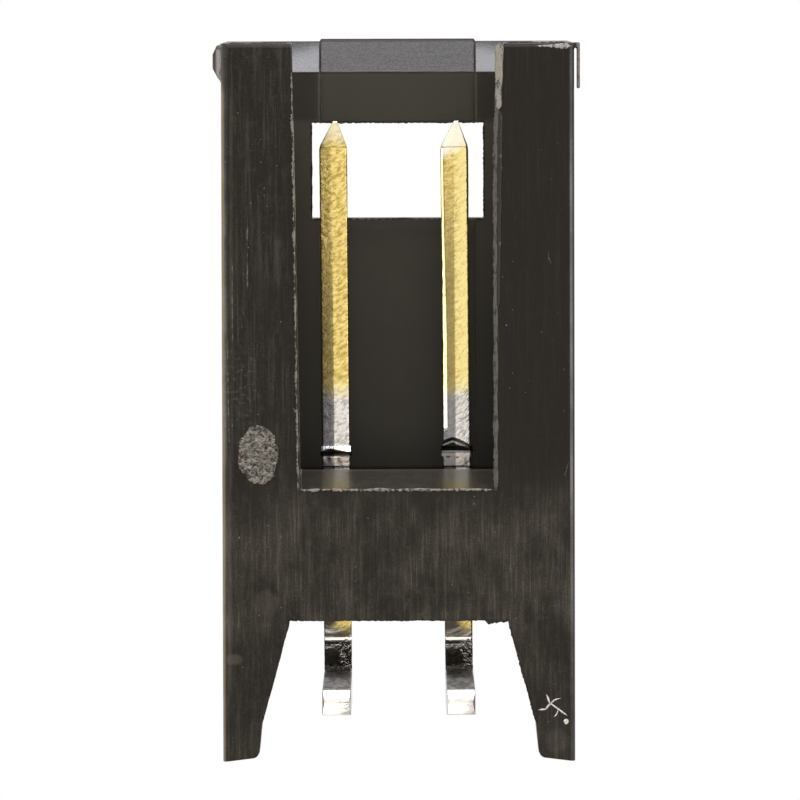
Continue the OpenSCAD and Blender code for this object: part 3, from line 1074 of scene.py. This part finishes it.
def edge_runs(finish, width):
    """Dark flash along the back of the base, the legs, the mouth and the window, as runs."""
    level = 0.02 * MM
    lump_z = 0.03 * MM
    back = (LEG_ROOT_HALF, BASE_BACK_Y, level)
    lump = [(1.75 * MM, BASE_BACK_Y, lump_z), (2.3 * MM, BASE_BACK_Y, lump_z)]
    edges = {"base_flash": [flip(back), back]}
    for side, name in SIDES:
        edges[f"leg_flash_{name}"] = [
            (side * LEG_ROOT_HALF, BASE_BACK_Y, level),
            (side * LEG_KNEE[0], LEG_KNEE[1], level),
        ]
        edges[f"mouth_flash_{name}"] = [
            (side * (BODY_HALF - 0.15 * MM), MOUTH_Y, level),
            (side * (SLOT_MOUTH_HALF + 0.06 * MM), MOUTH_Y, level),
        ]
        edges[f"window_flash_{name}"] = [(side * WINDOW_HALF, y, CAVITY_TOP_Z) for y in WINDOW_Y]
    for y, name in zip(WINDOW_Y, ("front", "back")):
        edges[f"window_flash_{name}"] = [
            (side * WINDOW_HALF, y, CAVITY_TOP_Z) for side, _ in SIDES
        ]
    runs = [(name, corners, [width], finish.dark, 0.3) for name, corners in edges.items()]
    runs.insert(1, ("base_flash_lump", lump, scaled(0.04, 0.075, 0.06, 0.05), finish.dark, 0.2))
    return runs


class PINHEADER_OT_flash(bpy.types.Operator):
    """Leave thin ragged flash along the slot, the mouth, the window, the base and the legs"""

    bl_idname = "pinheader.flash"
    bl_label = "Leave the flash"

    def execute(self, context):
        settings = context.scene.pinheader_flash
        finish = flash_finishes(settings, context.scene.pinheader_housing.plastic)
        runs = slot_runs(finish) + edge_runs(finish, settings.edge_width)
        for count, (name, corners, widths, torn, ragged) in enumerate(runs):
            seed = FLASH_SEED + SEED_STEP * count
            rings = ragged_bead(corners, widths, settings.height, seed, ragged)
            new_piece(name, rings, torn)
        return {"FINISHED"}


def on_board_face(x, y):
    """A point on the face that lies on the board, from millimetres."""
    return (x * MM, y * MM, 0.0)


def stroke_pieces(strokes, finish, width, height, seed, ragged):
    """Thin ragged beads along named strokes on the face that lies on the board."""
    for count, (name, stroke) in enumerate(strokes.items()):
        corners = [on_board_face(*place) for place in stroke]
        rings = ragged_bead(corners, [width], height, seed + SEED_STEP * count, ragged)
        new_piece(name, rings, finish)


class PINHEADER_OT_marks(bpy.types.Operator):
    """Tear the gate mark, paint a highlight along a thin ridge at the mouth, scratch the leg and
    stroke the walls, with a painted highlight on the -X edge
    """

    bl_idname = "pinheader.marks"
    bl_label = "Add the marks"

    def execute(self, context):
        settings = context.scene.pinheader_flash
        plastic = context.scene.pinheader_housing.plastic
        crumbled = crumbled_finish("crumbled_gate", settings, plastic)
        mouth_highlight = torn_finish("painted_mouth_highlight", plastic, TINT.mouth_highlight, 1.0)
        scratched = torn_finish("scratched_white", settings.whitened, TINT.scratched, 1.0)
        chafed = torn_finish("chafed_stroke", plastic, dimmed(settings.greyed, 0.36), 0.85)
        # A thin ridge along the mouth, painted pale as a highlight
        corners = [on_board_face(*place) for place in MOUTH_HIGHLIGHT]
        rings = ragged_bead(corners, scaled(0.012, 0.035, 0.04), 0.008 * MM, MOUTH_HIGHLIGHT_SEED, 0.25)
        new_piece("mouth_highlight_bead", rings, mouth_highlight)
        half_x, half_y = settings.gate_size
        rings = torn_patch(on_board_face(*GATE_PLACE), half_x, half_y, 0.03 * MM, GATE_SEED)
        new_piece("gate_mark", rings, crumbled)
        stroke_pieces(SCRATCHES, scratched, 0.016 * MM, 0.008 * MM, SCRATCH_SEED, 0.2)
        stroke_pieces(STROKES, chafed, 0.012 * MM, 0.004 * MM, STROKE_SEED, 0.45)
        half_x, half_y = scaled(*SPOT_HALVES)
        rings = torn_patch(on_board_face(*SPOT_PLACE), half_x, half_y, 0.012 * MM, SPOT_SEED)
        new_piece("scratch_spot", rings, scratched)
        return {"FINISHED"}


def place_camera(scene, settings):
    """Camera below the part, looking up, with the mouth at the top of the picture."""
    data = bpy.data.cameras.new("camera")
    data.lens = settings.lens
    data.sensor_width = 36.0
    data.clip_start = 0.001
    data.clip_end = 10.0
    camera = bpy.data.objects.new("camera", data)
    scene.collection.objects.link(camera)
    place = Vector((0, settings.foot_y, -settings.distance))
    ahead = (Vector((settings.aim_x, settings.aim_y, 0)) - place).normalized()
    right = ahead.cross(Vector((0, -1, 0))).normalized()
    up = right.cross(ahead)
    turned = Matrix((right, up, -ahead)).transposed().to_4x4()
    rolled = turned @ Matrix.Rotation(settings.roll, 4, "Z")
    camera.matrix_world = Matrix.Translation(place) @ rolled
    scene.camera = camera


def white_world(scene):
    """White to the camera, and to reflections above the part; a dimmer studio elsewhere."""
    world = bpy.data.worlds.new("white_studio")
    world.use_nodes = True
    world.node_tree.nodes.clear()
    scene.world = world
    tree = Wire(world.node_tree)
    outputs = tree.node("ShaderNodeLightPath").socket.node.outputs
    seen = Wire(world.node_tree, outputs["Is Camera Ray"])
    through = Wire(world.node_tree, outputs["Is Transmission Ray"])
    mirrored = Wire(world.node_tree, outputs["Is Glossy Ray"])
    direction = tree.node("ShaderNodeTexCoord", out="Generated")
    above = direction.axes()[2].between(-0.4, 0.05)
    white = seen.most(through).most(mirrored * above)
    dim = tree.node("ShaderNodeBackground", None, {"Color": (1, 0.94, 0.87, 1), "Strength": 0.52})
    bright = tree.node("ShaderNodeBackground", None, {"Color": (1, 1, 1, 1), "Strength": 1.0})
    mixed = tree.node("ShaderNodeMixShader", None, {0: white, 1: dim, 2: bright})
    tree.node("ShaderNodeOutputWorld", None, {"Surface": mixed})


def soft_lamp(name, place, size, radiance, tone):
    """Area lamp that faces the part: its power is its radiance times pi times its area."""
    data = bpy.data.lights.new(name, "AREA")
    data.shape = "RECTANGLE"
    data.size, data.size_y = size
    data.energy = radiance * math.pi * size[0] * size[1]
    data.color = tone
    lamp = bpy.data.objects.new(name, data)
    bpy.context.scene.collection.objects.link(lamp)
    lamp.location = place
    middle = (HOUSING_LOW + HOUSING_HIGH) / 2
    lamp.rotation_euler = (middle - lamp.location).to_track_quat("-Z", "Y").to_euler()
    lamp.visible_camera = False


def lay_floor(settings):
    """Pale floor far below the part: a flat grid of points."""
    count = 9
    reach = 0.8
    span = np.linspace(-reach, reach, count)
    x, y = np.meshgrid(span, span)
    points = np.stack([x, y, np.full_like(x, settings.floor_z)], -1)
    first = np.arange(count * count).reshape(count, count)
    quads = np.stack([first[:-1, :-1], first[:-1, 1:], first[1:, 1:], first[1:, :-1]], -1)
    mesh = bpy.data.meshes.new("floor")
    mesh.from_pydata(points.reshape(-1, 3).tolist(), [], quads.reshape(-1, 4).tolist())
    material, place = new_finish("pale_floor")
    mottle = place.noise((0.02, 0.02, 0.02), 3)
    tone = mottle.tint((0.86, 0.85, 0.84, 1), (0.92, 0.92, 0.91, 1))
    close_finish(place, {"Base Color": tone, "Roughness": 0.7})
    mesh.materials.append(material)
    floor = bpy.data.objects.new("floor", mesh)
    bpy.context.scene.collection.objects.link(floor)


class PINHEADER_OT_stage(bpy.types.Operator):
    """Set up the camera, the white surroundings, the soft lights and the floor"""

    bl_idname = "pinheader.stage"
    bl_label = "Set the stage"

    def execute(self, context):
        settings = context.scene.pinheader_stage
        context.scene.view_settings.view_transform = "Standard"
        place_camera(context.scene, settings)
        white_world(context.scene)
        for name, (place, size, radiance, tone) in LAMPS.items():
            soft_lamp(name, place, size, radiance, tone)
        lay_floor(settings)
        return {"FINISHED"}


class PINHEADER_PT_panel(bpy.types.Panel):
    """Sizes, colours and steps of the pin header"""

    bl_idname = "PINHEADER_PT_panel"
    bl_label = "Pin header"
    bl_space_type = "VIEW_3D"
    bl_region_type = "UI"
    bl_category = "Pin header"

    def draw(self, context):
        for operator, group in STEPS:
            box = self.layout.box()
            box.operator(operator.bl_idname)
            settings = getattr(context.scene, group)
            for key in settings.bl_rna.properties.keys():
                if key not in {"rna_type", "name"}:
                    box.prop(settings, key)


STEPS = (
    (PINHEADER_OT_stage, "pinheader_stage"),
    (PINHEADER_OT_housing, "pinheader_housing"),
    (PINHEADER_OT_pins, "pinheader_pins"),
    (PINHEADER_OT_flash, "pinheader_flash"),
    (PINHEADER_OT_marks, "pinheader_flash"),
)
GROUPS = {
    "pinheader_housing": HousingSettings,
    "pinheader_pins": PinSettings,
    "pinheader_flash": FlashSettings,
    "pinheader_stage": StageSettings,
}


def register():
    for name, group in GROUPS.items():
        bpy.utils.register_class(group)
        setattr(bpy.types.Scene, name, PointerProperty(type=group))
    for operator, _ in STEPS:
        bpy.utils.register_class(operator)
    bpy.utils.register_class(PINHEADER_PT_panel)


def unregister():
    bpy.utils.unregister_class(PINHEADER_PT_panel)
    for operator, _ in reversed(STEPS):
        bpy.utils.unregister_class(operator)
    for name, group in reversed(GROUPS.items()):
        delattr(bpy.types.Scene, name)
        bpy.utils.unregister_class(group)


def main():
    register()
    bpy.ops.pinheader.stage()
    bpy.ops.pinheader.housing()
    bpy.ops.pinheader.pins()
    bpy.ops.pinheader.flash()
    bpy.ops.pinheader.marks()


if __name__ == "__main__":
    main()
